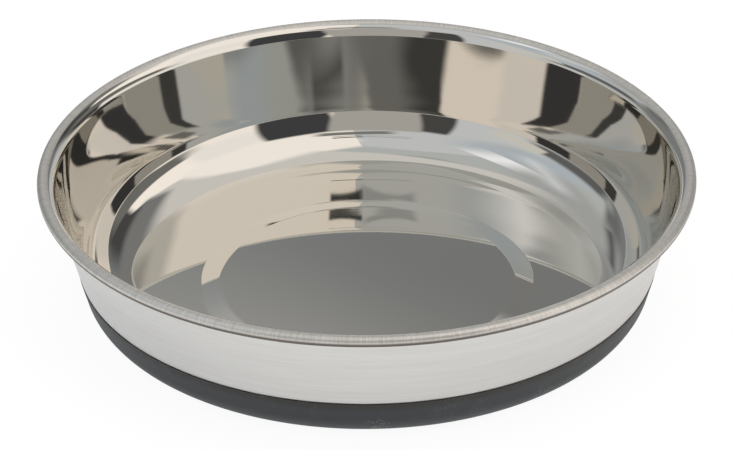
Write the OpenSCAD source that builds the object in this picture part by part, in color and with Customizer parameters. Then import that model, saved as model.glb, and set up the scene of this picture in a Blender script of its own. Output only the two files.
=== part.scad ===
/* [Overall] */
// Diameter over the rolled edge of the rim
rim_d = 165; // [140:1:220]
// Height from the table to the top of the rim
dish_h = 35; // [30:0.5:60]

/* [Steel pressing] */
// Thickness of the drawn sheet
sheet = 0.7; // [0.5:0.05:1]
// Lean of the wall away from upright, in degrees
wall_lean = 15; // [10:0.5:20]
// Inside radius of the cove where the wall turns into the floor
cove_r = 15; // [10:0.5:18]

/* [Raised panel in the floor] */
// Diameter of the flat top of the panel
panel_d = 74; // [50:1:95]
// Height of the panel above the floor round it
panel_rise = 0.8; // [0.5:0.05:1.2]
// Slope of the ramp round the panel, in degrees
ramp_slope = 9; // [7:0.5:15]
// Inside radius of the two bends of the ramp
ramp_bend_r = 4; // [2:0.5:6]

/* [Lip] */
// Inside radius of the flare above the wall
flare_r = 4; // [3:0.1:8]
// Slope at which the flare meets the shoulder, in degrees
flare_slope = 48; // [42:1:60]
// Inside radius of the shoulder, which turns the flare into the top of the lip
shoulder_r = 2.4; // [1:0.1:3]
// Inside radius of the rolled edge
roll_r = 0.6; // [0.3:0.05:0.9]
// Angle through which the edge is rolled under, in degrees
roll_turn = 180; // [150:5:180]
// Length of the edge that is turned back under the lip
roll_return = 1; // [0.5:0.1:1.5]

/* [Rubber base ring] */
// Height of the rubber up the outside of the wall
rubber_h = 11.1; // [8:0.1:18]
// How far the rubber stands proud of the line of the wall
rubber_proud = 0.15; // [0.1:0.05:0.6]
// Thickness of the rubber under the floor
foot_t = 1; // [0.8:0.1:3]
// Radius of the rubber's outer lower edge
toe_r = 7.9; // [5:0.1:9]
// Gap between the foot of the ramp and the ring's inner edge, under the floor
ring_setback = 3.3; // [1:0.1:8]
// Radius of the ring's inner lower edge
heel_r = 0.6; // [0.3:0.1:0.7]

/* [Hidden] */
$fn = 180;

// Turn nearest to an angle whose cosine and sine, kept to six places, still lie on the unit circle,
// so that strips joined at an angle meet edge to edge
places = 1e6;
turn_step = 0.0001;
turn_tries = 100;
function kept(value) = round(value * places) / places;
function off_circle(angle) = abs(kept(cos(angle)) ^ 2 + kept(sin(angle)) ^ 2 - 1);
function true_turn(angle) =
    let (near = [for (i = [-turn_tries : turn_tries]) angle + i * turn_step])
    let (misses = [for (a = near) off_circle(a)])
    near[search(min(misses), misses)[0]];

// The cove turns the sheet up by the two turns that flare and shoulder take back, so the lip's top is level
ramp_turn = true_turn(ramp_slope);
shoulder_turn = true_turn(flare_slope);
flare_turn = true_turn(90 - wall_lean - flare_slope);
wall_slope = shoulder_turn + flare_turn;
// Radii of the upper face of the sheet where it bends downward
flare_top_r = flare_r + sheet;
shoulder_top_r = shoulder_r + sheet;
roll_top_r = roll_r + sheet;

// Upper face of the floor, and of the raised panel
floor_z = foot_t + sheet;
panel_z = floor_z + panel_rise;

// Ramp between panel and floor: one bend down, a straight, one bend up
ramp_bends = 2 * ramp_bend_r + sheet;
ramp_l = (panel_rise - ramp_bends * (1 - cos(ramp_turn))) / sin(ramp_turn);
ramp_w = ramp_bends * sin(ramp_turn) + ramp_l * cos(ramp_turn);

// Straight length of the wall, from the heights that the bends leave
cove_rise = cove_r * (1 - cos(wall_slope));
flare_rise = flare_top_r * (cos(shoulder_turn) - cos(wall_slope));
shoulder_rise = shoulder_top_r * (1 - cos(shoulder_turn));
wall_l = (dish_h - floor_z - cove_rise - flare_rise - shoulder_rise) / sin(wall_slope);

// Radius at which the level floor ends, from the widths that the wall and the lip take
lip_run = flare_top_r * (sin(wall_slope) - sin(shoulder_turn))
        + shoulder_top_r * sin(shoulder_turn) + roll_top_r;
wall_run = cove_r * sin(wall_slope) + wall_l * cos(wall_slope);
floor_end = rim_d / 2 - lip_run - wall_run;
floor_start = panel_d / 2 + ramp_w;
floor_l = floor_end - floor_start;

// Outer side of the sheet at the cove, and the rubber's face, which runs parallel to the wall
cove_out_r = cove_r + sheet;
face_out_r = cove_out_r + rubber_proud;
// Toe: its centre lies under the cove's by toe_drop, where the toe's arc meets both sole and face
toe_drop = floor_z + cove_r - toe_r;
toe_centre = floor_end + (face_out_r - toe_r - toe_drop * cos(wall_slope)) / sin(wall_slope);
toe_top_z = toe_r * (1 - cos(wall_slope));
face_l = (rubber_h - toe_top_z) / sin(wall_slope);
ring_open_r = floor_start + ring_setback;
sole_l = toe_centre - ring_open_r - heel_r;
// Depth to which the ring is filled before the steel's seat is cut from it
fill = toe_r;

// The half of the plane ahead of the drawing point, as far as a size reaches
module ahead(reach) {
    translate([0, -reach]) square([reach, 2 * reach]);
}

// Carries the drawing point round a centre on its left, through one turn or two in a row
module carry_left(radius, turn, more = 0) {
    translate([0, radius]) rotate(turn) rotate(more) translate([0, -radius]) children();
}

// Carries the drawing point round a centre on its right
module carry_right(radius, turn) {
    translate([0, -radius]) rotate(-turn) translate([0, radius]) children();
}

// Straight strip of sheet along the drawing direction, with what follows drawn from its far end
module leg(length) {
    translate([0, -sheet]) square([length, sheet]);
    translate([length, 0]) children();
}

// Strip of sheet that bends upward about an inside radius
module bend_up(inside, turn, more = 0) {
    outside = inside + sheet;
    intersection() {
        translate([0, inside]) difference() {
            circle(r = outside);
            circle(r = inside);
        }
        ahead(2 * outside);
        carry_left(inside, turn, more) mirror([1, 0]) ahead(2 * outside);
    }
    carry_left(inside, turn, more) children();
}

// Strip of sheet that bends downward about an inside radius
module bend_down(inside, turn) {
    outside = inside + sheet;
    intersection() {
        translate([0, -outside]) difference() {
            circle(r = outside);
            circle(r = inside);
        }
        ahead(2 * outside);
        carry_right(outside, turn) mirror([1, 0]) ahead(2 * outside);
    }
    carry_right(outside, turn) children();
}

// Straight side of a solid, filled to the left of the drawing direction
module side(length, depth) {
    square([length, depth]);
    translate([length, 0]) children();
}

// Round corner of a solid, between two sides
module corner(radius, turn, more = 0) {
    translate([0, radius]) circle(r = radius);
    carry_left(radius, turn, more) children();
}

// Section of the pressing, drawn along its upper face from the middle of the panel to the rolled edge
module bowl_section() {
    translate([0, panel_z])
        leg(panel_d / 2)
        bend_down(ramp_bend_r, ramp_turn)
        leg(ramp_l)
        bend_up(ramp_bend_r, ramp_turn)
        leg(floor_l)
        bend_up(cove_r, shoulder_turn, flare_turn)
        leg(wall_l)
        bend_down(flare_r, flare_turn)
        bend_down(shoulder_r, shoulder_turn)
        bend_down(roll_r, roll_turn)
        leg(roll_return);
}

// Everything above the outer side of floor, cove and wall: the seat that the rubber is moulded to
module seat_section() {
    translate([floor_start, foot_t])
        side(floor_l, cove_out_r)
        corner(cove_out_r, shoulder_turn, flare_turn)
        side(wall_l, cove_out_r);
}

// The ring before its seat is cut: down the inner edge, along the sole, round the toe, up the face
module ring_section() {
    translate([ring_open_r, floor_z]) rotate(-90)
        side(floor_z - heel_r, fill)
        corner(heel_r, 90)
        side(sole_l, fill)
        corner(toe_r, shoulder_turn, flare_turn)
        side(face_l, fill);
}

// Dish drawn from one round of stainless sheet, with a rounded lip whose edge is rolled under
module steel_bowl() {
    color("silver") rotate_extrude() bowl_section();
}

// Rubber foot ring, moulded and bonded round the lower corner of the steel
module rubber_base_ring() {
    color("dimgray") rotate_extrude() difference() {
        ring_section();
        seat_section();
    }
}

steel_bowl();
rubber_base_ring();
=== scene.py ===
import math

import bpy
import numpy as np
from mathutils import Matrix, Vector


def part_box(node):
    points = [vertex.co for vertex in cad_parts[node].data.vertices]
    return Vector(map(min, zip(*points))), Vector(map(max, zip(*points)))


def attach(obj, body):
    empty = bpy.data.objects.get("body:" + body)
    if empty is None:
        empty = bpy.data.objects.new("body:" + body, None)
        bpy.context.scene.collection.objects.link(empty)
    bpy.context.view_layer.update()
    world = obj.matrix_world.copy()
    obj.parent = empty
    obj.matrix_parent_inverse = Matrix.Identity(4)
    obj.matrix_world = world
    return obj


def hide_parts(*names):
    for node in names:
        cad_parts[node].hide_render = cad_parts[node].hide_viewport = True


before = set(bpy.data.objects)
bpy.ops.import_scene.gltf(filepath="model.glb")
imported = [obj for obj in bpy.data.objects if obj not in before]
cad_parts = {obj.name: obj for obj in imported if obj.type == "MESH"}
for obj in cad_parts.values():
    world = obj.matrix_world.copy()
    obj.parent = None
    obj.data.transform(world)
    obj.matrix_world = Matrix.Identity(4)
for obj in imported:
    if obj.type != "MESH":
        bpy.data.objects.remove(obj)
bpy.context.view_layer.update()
scene = bpy.context.scene
mm = 0.001
print("frame loaded:", len(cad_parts), "nodes")


# sRGB hex to linear: the low end is divided by 12.92, the rest is shifted, scaled and raised to 2.4
def hexLinear(text):
    srgb = np.array([int(text[i:i + 2], 16) for i in (1, 3, 5)]) / 255
    linear = np.where(srgb <= 0.04045, srgb / 12.92, ((srgb + 0.055) / 1.055) ** 2.4)
    return (*linear.tolist(), 1.0)


# Adds one node: settings are its own fields; a socket takes a plain value, another node's first output,
# or an output socket
def addNode(tree, kind, sockets=None, **settings):
    node = tree.nodes.new("ShaderNode" + kind)
    for field, value in settings.items():
        setattr(node, field, value)
    for name, value in (sockets or {}).items():
        if isinstance(value, bpy.types.Node):
            value = next(out for out in value.outputs if out.enabled)
        if isinstance(value, bpy.types.NodeSocket):
            tree.links.new(value, node.inputs[name])
        else:
            node.inputs[name].default_value = value
    return node


# Walks a section from a start point and heading. Along a leg the point moves by the length times
# (cosine, sine) of the heading; along a bend of radius R the heading turns evenly, and the point is the
# start plus R times the change of (sine, minus cosine) of the heading. A right-hand bend has a minus turn.
def walkSection(start, heading, stretches):
    points, headings, runs, grains = [np.array([start])], [np.array([heading])], [np.zeros(1)], []
    for size, turn, steps, grain in stretches:
        point, angle, run = points[-1][-1], headings[-1][-1], runs[-1][-1]
        share = np.linspace(0, 1, steps + 1)[1:]
        angles = angle + math.radians(turn) * share
        if turn:
            radius = math.copysign(size, turn)
            moved = radius * np.stack([np.sin(angles) - np.sin(angle), np.cos(angle) - np.cos(angles)], 1)
            size = size * math.radians(abs(turn))
        else:
            moved = size * np.outer(share, (math.cos(angle), math.sin(angle)))
        points.append(point + moved)
        headings.append(angles)
        runs.append(run + size * share)
        grains.append(np.full(steps, grain))
    grains.insert(0, grains[0][:1])
    return [np.concatenate(part) for part in (points, headings, runs, grains)]


# Turns a section about the dish's axis: x and y are the radius times (cosine, sine) of the angle, z is
# kept. The outward normal lies left of the walk, so it is (minus sine, cosine) of the heading, turned
# likewise. A section that starts and ends on the axis gets one point at each pole.
def turnSection(name, section, headings, around, attributes, zones, closed):
    angle = np.arange(around) * 2 * math.pi / around
    spokes = np.stack([np.cos(angle), np.sin(angle)], 1)
    inner = section if closed else section[1:-1]
    tilt = headings if closed else headings[1:-1]
    rings = len(inner)

    def spread(radial, upright):
        flat = radial[:, None, None] * spokes[None]
        return np.concatenate([flat, np.repeat(upright[:, None], around, 1)[..., None]], 2).reshape(-1, 3)

    points = spread(inner[:, 0], inner[:, 1])
    normals = spread(-np.sin(tilt), np.cos(tilt))
    row, column = np.meshgrid(np.arange(rings if closed else rings - 1), np.arange(around), indexing="ij")
    after, beside = (row + 1) % rings, (column + 1) % around
    quads = np.stack([row * around + column, after * around + column,
                      after * around + beside, row * around + beside], 2).reshape(-1, 4)
    faces = quads.tolist()
    values = {key: np.repeat(value if closed else value[1:-1], around) for key, value in attributes.items()}
    faceZones = np.repeat(zones if closed else zones[1:-2], around)
    if not closed:
        top, bottom = len(points), len(points) + 1
        here = np.arange(around)
        there = (here + 1) % around
        last = (rings - 1) * around
        faces += np.stack([np.full(around, top), here, there], 1).tolist()
        faces += np.stack([last + here, np.full(around, bottom), last + there], 1).tolist()
        poles = section[[0, -1]]
        points = np.vstack([points, [[0, 0, poles[0, 1]], [0, 0, poles[1, 1]]]])
        normals = np.vstack([normals, [[0, 0, 1], [0, 0, -1]]])
        values = {key: np.append(values[key], attributes[key][[0, -1]]) for key in values}
        faceZones = np.concatenate([faceZones, np.full(around, zones[0]), np.full(around, zones[-1])])
    mesh = bpy.data.meshes.new(name)
    mesh.from_pydata((points * mm).tolist(), [], faces)
    mesh.polygons.foreach_set("use_smooth", np.ones(len(faces), bool))
    mesh.polygons.foreach_set("material_index", faceZones.astype(np.int32))
    for key, value in values.items():
        mesh.attributes.new(key, "FLOAT", "POINT").data.foreach_set("value", value.astype(np.float32))
    mesh.normals_split_custom_set_from_vertices(normals.tolist())
    piece = bpy.data.objects.new(name, mesh)
    scene.collection.objects.link(piece)
    return piece


# One dish, drawn from a round of sheet; sizes in mm, angles in degrees
bowlLow, bowlHigh = (np.array(corner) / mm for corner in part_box("steel_bowl"))
bowl = {
    "rimRadius": (bowlHigh[0] - bowlLow[0]) / 2,
    "rimTop": bowlHigh[2],
    "underFloor": bowlLow[2],
    "sheet": 0.7,
    "panelRadius": 37.0,
    "panelRise": 0.8,
    "rampSlope": 9.0,
    "rampBend": 4.0,
    "coveRadius": 15.0,
    "wallSlope": 75.0,
    "flareBend": 4.0,
    "flareSlope": 48.0,
    "shoulderBend": 2.4,
    "rollBend": 0.6,
    "rollTurn": 180.0,
    "rollReturn": 1.0,
    "edgeBreak": 0.15,       # softened corners of the sheet's cut edge
    # Drawing leaves a faint ripple in the wall, which stands up a little below the lip: (length, turn)
    # from the cove upward
    "ripple": ((6.6, -0.7), (5.4, 1.15), (3.5, 0.15), (3.3, 0.7), (1.3, 0.1)),
    "satinFrom": 79.9,       # radius at which the polish ends and the satin of the lip starts
    "paintedShadeTurn": 72.0,     # how far round the roll the painted shade of the lip's underside starts
    "paintedShadeFade": 0.7,      # run over which that painted shade fades in
    "around": 320,
}
sheet = bowl["sheet"]
flareTop, shoulderTop, rollTop = (bowl[key] + sheet for key in ("flareBend", "shoulderBend", "rollBend"))
wallAngle, flareAngle, rampAngle = (
    math.radians(bowl[key]) for key in ("wallSlope", "flareSlope", "rampSlope"))
floorTop = bowl["underFloor"] + sheet
rampBends = 2 * bowl["rampBend"] + sheet
rampLength = (bowl["panelRise"] - rampBends * (1 - math.cos(rampAngle))) / math.sin(rampAngle)
rampWidth = rampBends * math.sin(rampAngle) + rampLength * math.cos(rampAngle)
# A stretch is (length or radius, turn, steps, grain): grain 0 is crisp mirror, 1 shows the polishing lines
# most. The wall's bends are walked once at their listed lengths and then stretched to the height left.
wallSteps, wallGrain = 6, 1.0
wallBends = [(length / math.radians(abs(turn)), turn, wallSteps, wallGrain)
             for length, turn in bowl["ripple"]]
listedWall = walkSection((0.0, 0.0), wallAngle, wallBends)[0][-1]
wallTurn = sum(turn for length, turn in bowl["ripple"])
wallTop = wallAngle + math.radians(wallTurn)
bendRise = (bowl["coveRadius"] * (1 - math.cos(wallAngle))
            + flareTop * (math.cos(flareAngle) - math.cos(wallTop))
            + shoulderTop * (1 - math.cos(flareAngle)))
stretch = (bowl["rimTop"] - floorTop - bendRise) / listedWall[1]
lipRun = (flareTop * (math.sin(wallTop) - math.sin(flareAngle))
          + shoulderTop * math.sin(flareAngle) + rollTop)
wallRun = bowl["coveRadius"] * math.sin(wallAngle) + stretch * listedWall[0]
floorEnd = bowl["rimRadius"] - lipRun - wallRun
floorStart = bowl["panelRadius"] + rampWidth

# From the middle of the panel to the end of the rolled edge
upperStretches = [
    (bowl["panelRadius"], 0, 12, 0.45),
    (bowl["rampBend"] + sheet, -bowl["rampSlope"], 6, 0.1),
    (rampLength, 0, 3, 0.1),
    (bowl["rampBend"], bowl["rampSlope"], 6, 0.1),
    (floorEnd - floorStart, 0, 5, 0.25),
    (bowl["coveRadius"], bowl["wallSlope"], 30, 0.2),
    *((stretch * radius, turn, steps, grain) for radius, turn, steps, grain in wallBends),
    (flareTop, bowl["flareSlope"] - bowl["wallSlope"] - wallTurn, 10, 0.6),
    (shoulderTop, -bowl["flareSlope"], 14, 0.3),
    (rollTop, -bowl["rollTurn"], 24, 0.5),
    (bowl["rollReturn"], 0, 2, 0.5),
]
upper, upperHeading, upperRun, upperGrain = walkSection(
    (0, floorTop + bowl["panelRise"]), 0.0, upperStretches)
# The cut edge: a small bend, a short leg and a small bend, from the sheet's upper face to its lower one
cutStretches = [(bowl["edgeBreak"], -90, 3, 0.5), (sheet - 2 * bowl["edgeBreak"], 0, 1, 0.5),
                (bowl["edgeBreak"], -90, 3, 0.5)]
cut, cutHeading, cutRun, cutGrain = walkSection(upper[-1], upperHeading[-1], cutStretches)
# The lower face is the upper one moved by the sheet's thickness against its normal, walked back
lower = (upper + sheet * np.stack([np.sin(upperHeading), -np.cos(upperHeading)], 1))[::-1]
bowlSection = np.vstack([upper, cut[1:-1], lower])
bowlHeading = np.concatenate([upperHeading, cutHeading[1:-1], upperHeading[::-1] + math.pi])
bowlRun = np.concatenate([upperRun, upperRun[-1] + cutRun[1:-1], upperRun[::-1]])
outsideGrain = 0.6
bowlGrain = np.concatenate([upperGrain, cutGrain[1:-1], np.full(len(lower), outsideGrain)])
lowerStart = len(upper) + len(cut) - 2
station = np.arange(len(bowlSection))
polishEnd = np.argmax(upper[:, 0] > bowl["satinFrom"])
# Zones of the sheet: 0 polished inside, 1 satin lip with its rolled edge, 2 satin outside
bowlZone = np.where(station < polishEnd - 1, 0, np.where(station < lowerStart, 1, 2))

# Painted shade darkens the lip from a little before the roll's outermost line on round its underside
rollStart = upperRun[-1] - bowl["rollReturn"] - rollTop * math.radians(bowl["rollTurn"])
paintedShadeFrom = rollStart + rollTop * math.radians(bowl["paintedShadeTurn"])

steelBowl = turnSection("drawnSteelBowl", bowlSection, bowlHeading, bowl["around"],
                        {"sectionRun": bowlRun, "polishGrain": bowlGrain}, bowlZone, False)
print("steel bowl:", len(steelBowl.data.vertices), "points, rim radius", round(bowl["rimRadius"], 2), "mm")

# Moulded rubber ring that fills the corner under the cove; sizes in mm
ring = {
    "faceTop": 11.1,        # height of the face's upper edge
    "proud": 0.15,          # how far the face stands outside the line of the wall
    "toeRadius": 7.9,
    "heelRadius": 0.6,
    "setback": 3.3,         # from the foot of the ramp to the ring's inner edge
    "topEdge": 0.1,         # rounding of the upper edge
    "seatEdge": 0.04,       # rounding where the rubber meets the steel
    "around": 288,
}
coveOut = bowl["coveRadius"] + sheet
faceOut = coveOut + ring["proud"]
coveCentre = np.array([floorEnd, floorTop + bowl["coveRadius"]])
alongFace = np.array([math.cos(wallAngle), math.sin(wallAngle)])
offFace = np.array([math.sin(wallAngle), -math.cos(wallAngle)])
toeDrop = coveCentre[1] - ring["toeRadius"]    # from the cove's centre down to the toe's
toeX = floorEnd + (faceOut - ring["toeRadius"] - toeDrop * math.cos(wallAngle)) / math.sin(wallAngle)
toeTop = np.array([toeX, ring["toeRadius"]]) + ring["toeRadius"] * offFace
ringInner = floorStart + ring["setback"]
# The upper edge stands square to the face: how far below the cove's end it cuts the seat gives the
# seat's turn
faceTop = toeTop + alongFace * (ring["faceTop"] - toeTop[1]) / alongFace[1]
belowEnd = np.dot(faceTop - coveCentre, alongFace)
seatTurn = bowl["wallSlope"] + math.degrees(math.asin(belowEnd / coveOut))
seatStretches = [(floorEnd - ringInner - ring["seatEdge"], 0, 4, 0), (coveOut, seatTurn, 24, 0),
                 (ring["seatEdge"], bowl["wallSlope"] - 90 - seatTurn, 4, 0)]
seat, seatHeading, _, _ = walkSection(
    (ringInner + ring["seatEdge"], bowl["underFloor"]), 0.0, seatStretches)
landLength = faceOut - np.dot(seat[-1] - coveCentre, offFace) - ring["topEdge"]
landEnd = seat[-1] + landLength * offFace
faceLength = np.dot(landEnd - toeTop, alongFace) - ring["topEdge"]
outerStretches = [(landLength, 0, 2, 0), (ring["topEdge"], -90, 5, 0), (faceLength, 0, 10, 0),
                  (ring["toeRadius"], -bowl["wallSlope"], 26, 0),
                  (toeX - ringInner - ring["heelRadius"], 0, 6, 0), (ring["heelRadius"], -90, 8, 0),
                  (bowl["underFloor"] - ring["heelRadius"] - ring["seatEdge"], 0, 2, 0),
                  (ring["seatEdge"], -90, 3, 0)]
outer, outerHeading, outerRun, _ = walkSection(seat[-1], seatHeading[-1], outerStretches)
ringSection = np.vstack([seat, outer[1:-1]])
ringHeading = np.concatenate([seatHeading, outerHeading[1:-1]])
baseRing = turnSection("mouldedRubberRing", ringSection, ringHeading, ring["around"],
                       {"belowEdge": np.concatenate([np.zeros(len(seat)), outerRun[1:-1]])},
                       np.zeros(len(ringSection), int), True)
gap = float(np.hypot(*(outer[-1] - seat[0])))
print("rubber ring:", len(baseRing.data.vertices), "points, closes within", round(gap, 6), "mm")


# A material with one Principled shader; its plain numbers go straight to the sockets
def newFinish(name, sockets):
    finish = bpy.data.materials.new(name)
    finish.use_nodes = True
    tree = finish.node_tree
    tree.nodes.clear()
    shader = addNode(tree, "BsdfPrincipled", sockets)
    addNode(tree, "OutputMaterial", {"Surface": shader})
    return finish, tree, shader


# Value that a piece's points carry
def carried(tree, name):
    return addNode(tree, "Attribute", attribute_name=name).outputs["Fac"]


# Product of two values
def multiply(tree, first, second):
    return addNode(tree, "Math", {0: first, 1: second}, operation="MULTIPLY")


# Even step from 0 at the first bound to 1 at the second
def evenStep(tree, value, start, end):
    return addNode(tree, "MapRange", {"Value": value, "From Min": start, "From Max": end})


# Smooth step between two bounds
def softStep(tree, value, start, end, first=0.0, last=1.0):
    sockets = {"Value": value, "From Min": start, "From Max": end, "To Min": first, "To Max": last}
    return addNode(tree, "MapRange", sockets, interpolation_type="SMOOTHSTEP")


# Colour between two others, by a factor
def blend(tree, factor, under, over, label=""):
    sockets = {"Factor": factor, "A": under, "B": over}
    return addNode(tree, "Mix", sockets, data_type="RGBA", label=label).outputs["Result"]


# Relief of a depth in mm
def addRelief(tree, shader, height, depth):
    bump = addNode(tree, "Bump", {"Height": height, "Strength": 1.0, "Distance": depth * mm})
    tree.links.new(bump.outputs[0], shader.inputs["Normal"])


# Lines that follow the turned surface, as a cloud whose coordinates are (cosine, sine) of the angle about the
# axis times radius over line length, and the run along the section over the spacing, so there is no seam
def addLines(tree, radius, length, spacing, detail, roughness):
    place = addNode(tree, "TexCoord").outputs["Object"]
    flat = addNode(tree, "VectorMath", {0: place, 1: (1, 1, 0)}, operation="MULTIPLY")
    spoke = addNode(tree, "VectorMath", {0: flat}, operation="NORMALIZE")
    wide = addNode(tree, "VectorMath", {0: spoke, "Scale": radius / length}, operation="SCALE")
    across = addNode(tree, "Math", {0: carried(tree, "sectionRun"), 1: spacing}, operation="DIVIDE")
    rise = addNode(tree, "CombineXYZ", {"Z": across})
    vector = addNode(tree, "VectorMath", {0: wide, 1: rise}, operation="ADD")
    return addNode(tree, "TexNoise", {"Vector": vector, "Scale": 1.0, "Detail": detail,
                                      "Roughness": roughness})


# Middle radius of the wall and of the lip, in mm, for the lines round them
wallMiddle, lipMiddle = 75, 81

# Stainless steel, mirror-polished on a turning wheel: clear reflections, with faint level polishing lines
polish = {"lineLength": 25, "lineSpacing": 0.5, "lineDepth": 0.0007, "haze": 0.012, "grainHaze": 0.02}
polished, tree, shader = newFinish("mirror polished stainless steel",
                                   {"Base Color": hexLinear("#d9d6cf"), "Metallic": 1.0})
grain = carried(tree, "polishGrain")
lines = addLines(tree, wallMiddle, polish["lineLength"], polish["lineSpacing"], 3.0, 0.6)
haze = addNode(tree, "Math", {0: grain, 1: polish["grainHaze"], 2: polish["haze"]},
               operation="MULTIPLY_ADD")
tree.links.new(haze.outputs[0], shader.inputs["Roughness"])
addRelief(tree, shader, multiply(tree, lines, grain), polish["lineDepth"])

# Stainless steel, lip dressed with a belt across its width: short fine ticks, soft sheen; the edge that is
# turned under is coloured dark grey-brown as painted shade
dressing = {"tickWidth": 0.45, "tickLength": 6.0, "tickDepth": 0.06}
satinLip, tree, shader = newFinish("belt dressed stainless lip", {"Metallic": 1.0, "Roughness": 0.45})
ticks = addLines(tree, lipMiddle, dressing["tickWidth"], dressing["tickLength"], 2.0, 0.6)
addRelief(tree, shader, ticks, dressing["tickDepth"])
# Painted shade: from here round the roll the lip's colour turns dark, standing in for the shade under the
# roll
under = softStep(tree, carried(tree, "sectionRun"), paintedShadeFrom, paintedShadeFrom + bowl["paintedShadeFade"])
bright = evenStep(tree, ticks, 0.35, 0.65)
shade = blend(tree, bright, hexLinear("#d4d0c9"), hexLinear("#e4e1db"))
shade = blend(tree, under, shade, hexLinear("#6e6862"))
tree.links.new(shade, shader.inputs["Base Color"])

# Stainless steel, brushed round the outside: long level lines, soft blurred reflection. The brush's real
# lines are about 0.1 mm apart; they are drawn 0.4 mm apart so that they show at this distance
brushing = {"strokeLength": 9, "strokeSpacing": 0.4, "strokeDepth": 0.05,
            "streakLength": 30, "streakSpacing": 0.8}
satinOutside, tree, shader = newFinish("brushed stainless outside", {"Metallic": 1.0, "Roughness": 0.32})
strokes = addLines(tree, wallMiddle, brushing["strokeLength"], brushing["strokeSpacing"], 4.0, 0.7)
addRelief(tree, shader, strokes, brushing["strokeDepth"])
streaks = addLines(tree, wallMiddle, brushing["streakLength"], brushing["streakSpacing"], 5.0, 0.75)
pale = evenStep(tree, streaks, 0.3, 0.7)
shade = blend(tree, pale, hexLinear("#d1cfcb"), hexLinear("#dadad8"))
tree.links.new(shade, shader.inputs["Base Color"])

# Moulded natural rubber, dark grey and matt; painted shade makes it warm and darkest under the steel, and a
# painted reflection of the table makes it paler and cooler towards the toe; runs below the upper edge, sizes
# of the clouds and the skin's depth are in mm
moulding = {"paintedTopShade": (0.8, 3.2), "toe": (5.0, 13.0), "cloud": 12, "speck": 0.7, "skin": 0.6,
            "skinDepth": 0.05, "bloom": 0.3}
rubber, tree, shader = newFinish("moulded dark grey rubber", {"Roughness": 0.52, "IOR": 1.52})
below = carried(tree, "belowEdge")
# Painted shade: the band just under the steel is coloured darker and warmer
paintedTopShade = softStep(tree, below, *moulding["paintedTopShade"])
shade = blend(tree, paintedTopShade, hexLinear("#2d2b29"), hexLinear("#3c4043"))
# Painted reflection: the toe, which faces the white table, is coloured paler and cooler
toe = softStep(tree, below, *moulding["toe"])
shade = blend(tree, toe, shade, hexLinear("#646a6e"))
place = addNode(tree, "TexCoord").outputs["Object"]
# Dusty bloom: the coarse cloud picks out few places, the fine one breaks them up
cloud = addNode(tree, "TexNoise", {"Vector": place, "Scale": 1 / (moulding["cloud"] * mm), "Detail": 2.0})
speck = addNode(tree, "TexNoise", {"Vector": place, "Scale": 1 / (moulding["speck"] * mm), "Detail": 2.0})
patch = evenStep(tree, cloud, 0.57, 0.75)
crumb = evenStep(tree, speck, 0.5, 0.7)
bloom = multiply(tree, multiply(tree, patch, crumb), moulding["bloom"])
shade = blend(tree, bloom, shade, hexLinear("#8d9092"))
# Two rubbed places on the toe: (middle in mm, radius, how pale), broken up by the same fine cloud
for middle, radius, paleness in (((2, -71, 3), 4.5, 0.95), ((42, -58, 4), 5, 0.35)):
    spot = [value * mm for value in middle]
    away = addNode(tree, "VectorMath", {0: place, 1: spot}, operation="DISTANCE").outputs["Value"]
    near = softStep(tree, away, radius * mm, 0.0)
    rubbed = multiply(tree, multiply(tree, near, crumb), paleness)
    shade = blend(tree, rubbed, shade, hexLinear("#a9adb0"))
tree.links.new(shade, shader.inputs["Base Color"])
skin = addNode(tree, "TexNoise", {"Vector": place, "Scale": 1 / (moulding["skin"] * mm), "Detail": 3.0})
addRelief(tree, shader, skin, moulding["skinDepth"])

for finish in (polished, satinLip, satinOutside):
    steelBowl.data.materials.append(finish)
baseRing.data.materials.append(rubber)
for piece, node, slot in ((steelBowl, "steel_bowl", "stainless_steel"),
                          (baseRing, "rubber_base_ring", "base_rubber")):
    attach(piece, "root")
    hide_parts(node)
print("finishes set")

# Studio: a plain room with flat cards, lamps and flags round the dish, seen by direction
studio = bpy.data.worlds.new("studio")
scene.world = studio
studio.use_nodes = True
tree = studio.node_tree
tree.nodes.clear()
direction = addNode(tree, "TexCoord").outputs["Generated"]

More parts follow.
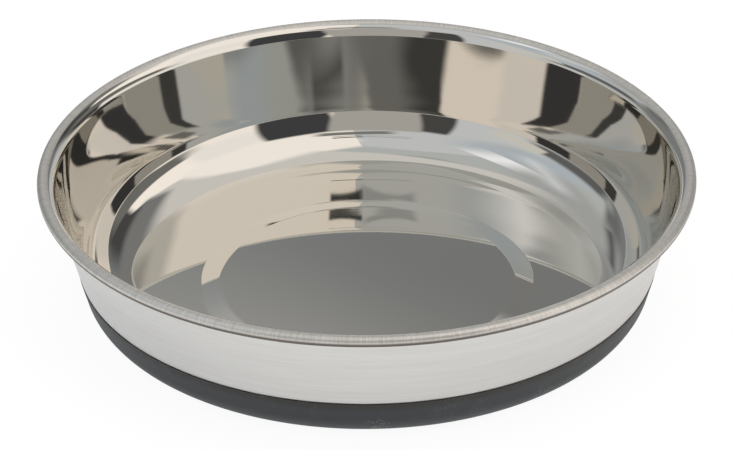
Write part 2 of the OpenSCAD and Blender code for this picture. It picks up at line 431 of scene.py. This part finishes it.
# Each card: azimuth of its middle (0 is the camera's side, plus is right), elevation, roll, half its width
# and height, softness of its sides and of its top and bottom, all in degrees; tint, strength; later ones lie
# over earlier ones. Most began as a scratch fit to what the dish mirrors, and were then rounded.
cards = {
    "ceiling, right half": (52, 0, 0, 46, 84, 1, 6, "#fff8f2", 1.2),
    "ceiling, left half": (-40, 0, 0, 46, 84, 1, 6, "#f6faff", 0.76),
    "pale foot of backdrop": (-165, 20, -10, 50, 14, 15, 6, "#f4faff", 0.27),
    "grey backdrop": (-175, 38, -5, 50, 6, 20, 6, "#f8fbff", 0.2),
    "white sweep behind": (180, 4, 0, 14, 10, 8, 6, "#ffffff", 1),
    "grey behind left": (-120, 48, 10, 40, 12, 20, 14, "#f8fcff", 0.5),
    "dark room behind right": (132, 40, 50, 48, 22, 10, 12, "#fcfdff", 0.08),
    "beige wall behind right": (132, 62, 5, 40, 23, 16, 4, "#fffdfa", 0.78),
    "softbox right": (80, 37, -12, 36, 12, 5, 3, "#fff8f3", 1.25),
    "softbox right top": (70, 62, 0, 22, 18, 6, 8, "#fff9f5", 1.2),
    "right under softbox": (104, 20, 0, 28, 6, 18, 2, "#fffef9", 0.2),
    "right low light": (62, 32, 0, 15, 12, 8, 10, "#fffbf9", 1.1),
    "right low white": (78, 6, 5, 32, 6, 4, 2, "#fffbf7", 1.05),
    "left wash": (-84, 37, 45, 28, 10, 18, 16, "#e6f2ff", 0.7),
    "left lamp": (-100, 46, -15, 17, 2, 14, 16, "#f3f9ff", 1),
    "left upper lamp": (-86, 58, 5, 8, 6, 20, 2, "#f6f8ff", 1.25),
    "left low flag": (-92, 18, 0, 22, 6, 12, 6, "#fcfdff", 0.15),
    "left low beige": (-64, 20, -15, 12, 6, 2, 4, "#fffdf8", 0.75),
    "left black flag": (-28, 22, 0, 8, 22, 3, 6, "#ffffff", 0.08),
    "right black flag": (29, 23, 0, 15, 24, 4, 4, "#f6f6ff", 0.07),
    "arch": (6, 53, 0, 12, 3, 6, 2, "#ffffff", 0.25),
    "lower bar": (11, 58.4, 0, 4.5, 0.4, 1, 0.2, "#f4f8ff", 0.06),
    "upper bar": (11, 61.2, 0, 4.5, 0.8, 1, 0.2, "#f4f8ff", 0.06),
    "lower bar, left part": (-12, 58.4, 0, 7, 0.4, 3, 0.2, "#f6faff", 0.5),
    "upper bar, left part": (-12, 61.2, 0, 7, 0.7, 3, 0.2, "#f6faff", 0.5),
    "centre card": (-4, 22, 0, 17, 26, 3, 5, "#fffcf8", 0.5),
    "dark tail behind right": (148, 38, -15, 25, 6, 7, 6, "#fcfdff", 0.25),
    "dark spot behind left": (-152, 31, 5, 10, 2, 4, 6, "#fffdfe", 0.12),
}
room = {"tint": "#f6fcff", "strength": 0.62}
sky = addNode(tree, "RGB", label="room").outputs[0]
sky.default_value = tuple(room["strength"] * part for part in hexLinear(room["tint"])[:3]) + (1.0,)
# The white table runs on to the horizon, and fades out between these two elevations in degrees
horizon = [math.sin(math.radians(value)) for value in (0.5, 3.5)]
height = addNode(tree, "SeparateXYZ", {0: direction}).outputs["Z"]
sky = blend(tree, softStep(tree, height, *horizon, 1.0, 0.0), sky, (1, 1, 1, 1), "horizon")
for name, card in cards.items():
    azimuth, elevation, roll, halfWidth, halfHeight, sideSoft, topSoft, tint, strength = card
    turn, rise, cant = (math.radians(value) for value in (azimuth, elevation, roll))
    towards = np.array([math.cos(rise) * math.sin(turn), -math.cos(rise) * math.cos(turn), math.sin(rise)])
    level = np.array([math.cos(turn), math.sin(turn), 0])
    upright = np.array([-math.sin(rise) * math.sin(turn), math.sin(rise) * math.cos(turn), math.cos(rise)])
    across = math.cos(cant) * level + math.sin(cant) * upright
    along = math.cos(cant) * upright - math.sin(cant) * level
    ahead = addNode(tree, "VectorMath", {0: direction, 1: towards.tolist()},
                    operation="DOT_PRODUCT").outputs["Value"]
    cover = None
    # Angle off the card's middle, seen in its own two axes; past a right angle it is off the card
    for axis, half, soft in ((across, halfWidth, sideSoft), (along, halfHeight, topSoft)):
        side = addNode(tree, "VectorMath", {0: direction, 1: axis.tolist()},
                       operation="DOT_PRODUCT").outputs["Value"]
        off = addNode(tree, "Math", {0: side}, operation="ABSOLUTE")
        off = addNode(tree, "Math", {0: off, 1: ahead}, operation="ARCTAN2")
        inner, outside = math.radians(half - soft / 2), math.radians(half + soft / 2)
        edge = softStep(tree, off, inner, outside, 1.0, 0.0)
        cover = edge if cover is None else multiply(tree, cover, edge)
    tone = tuple(strength * part for part in hexLinear(tint)[:3]) + (1.0,)
    sky = blend(tree, cover, sky, tone, name)
addNode(tree, "OutputWorld", {"Surface": addNode(tree, "Background", {"Color": sky, "Strength": 1.0})})

floorSize = 12.0         # metres
floorDrop = 0.02 * mm    # a hair below the sole, so that the two faces don't flicker
floorMesh = bpy.data.meshes.new("whiteTable")
corners = [(x * floorSize / 2, y * floorSize / 2, -floorDrop)
           for x, y in ((-1, -1), (1, -1), (1, 1), (-1, 1))]
floorMesh.from_pydata(corners, [], [(0, 1, 2, 3)])
table = bpy.data.objects.new("whiteTable", floorMesh)
scene.collection.objects.link(table)
white = bpy.data.materials.new("white table top")
white.use_nodes = True
tree = white.node_tree
tree.nodes.clear()
# The camera sees a nearly white table with a faint shadow; polished steel sees it with a deeper one under
# the dish
path = addNode(tree, "LightPath")
mirrored = addNode(tree, "Math", {0: path.outputs["Is Glossy Ray"], 1: path.outputs["Is Transmission Ray"]},
                   operation="MAXIMUM")
surface = addNode(tree, "BsdfDiffuse", {"Color": (0.85, 0.85, 0.85, 1)})
# Behind the dish the table falls into shade, from its axis to this far past it
shadeReach = 120 * mm
place = addNode(tree, "SeparateXYZ", {0: addNode(tree, "TexCoord").outputs["Object"]}).outputs["Y"]
behind = multiply(tree, mirrored, softStep(tree, place, 0.0, shadeReach))
# Which rays see it, its paint, its glow
for seen, paint, strength in ((mirrored, 0.9, 0.45), (behind, 0.3, 0.05),
                              (path.outputs["Is Camera Ray"], 0.13, 0.93)):
    lit = addNode(tree, "BsdfDiffuse", {"Color": (paint, paint, paint, 1)})
    glow = addNode(tree, "Emission", {"Color": (1, 1, 1, 1), "Strength": strength})
    both = addNode(tree, "AddShader", {0: lit, 1: glow})
    surface = addNode(tree, "MixShader", {0: seen, 1: surface, 2: both})
addNode(tree, "OutputMaterial", {"Surface": surface})
floorMesh.materials.append(white)

# Camera at the photograph's angle; distance and heights in mm, angles in degrees, focal length and offsets
# in pixels
view = {"elevation": 29.636, "distance": 1072.5, "aimHeight": 25.0, "roll": 0.396, "focal": 4261.8,
        "imageWidth": 733, "right": 0.3, "up": 22.4}
tilt, roll = math.radians(view["elevation"]), math.radians(view["roll"])
back = np.array([0, -math.cos(tilt), math.sin(tilt)])
right = np.array([1.0, 0, 0])
level = np.array([right, np.cross(back, right), back])
cant = np.array([[math.cos(roll), -math.sin(roll), 0], [math.sin(roll), math.cos(roll), 0], [0, 0, 1]])
pose = np.eye(4)
pose[:3, :3] = (cant @ level).T
pose[:3, 3] = (back * view["distance"] + (0, 0, view["aimHeight"])) * mm
lens = bpy.data.cameras.new("photoView")
lens.sensor_width = 36.0
lens.lens = view["focal"] * lens.sensor_width / view["imageWidth"]
lens.shift_x, lens.shift_y = -view["right"] / view["imageWidth"], -view["up"] / view["imageWidth"]
lens.clip_end = 50.0
camera = bpy.data.objects.new("photoView", lens)
scene.collection.objects.link(camera)
camera.matrix_world = Matrix(pose.tolist())
scene.camera = camera
scene.view_settings.view_transform = "Standard"
scene.cycles.glossy_bounces = 12    # the wall mirrors itself many times over at its two sides

bpy.context.view_layer.update()
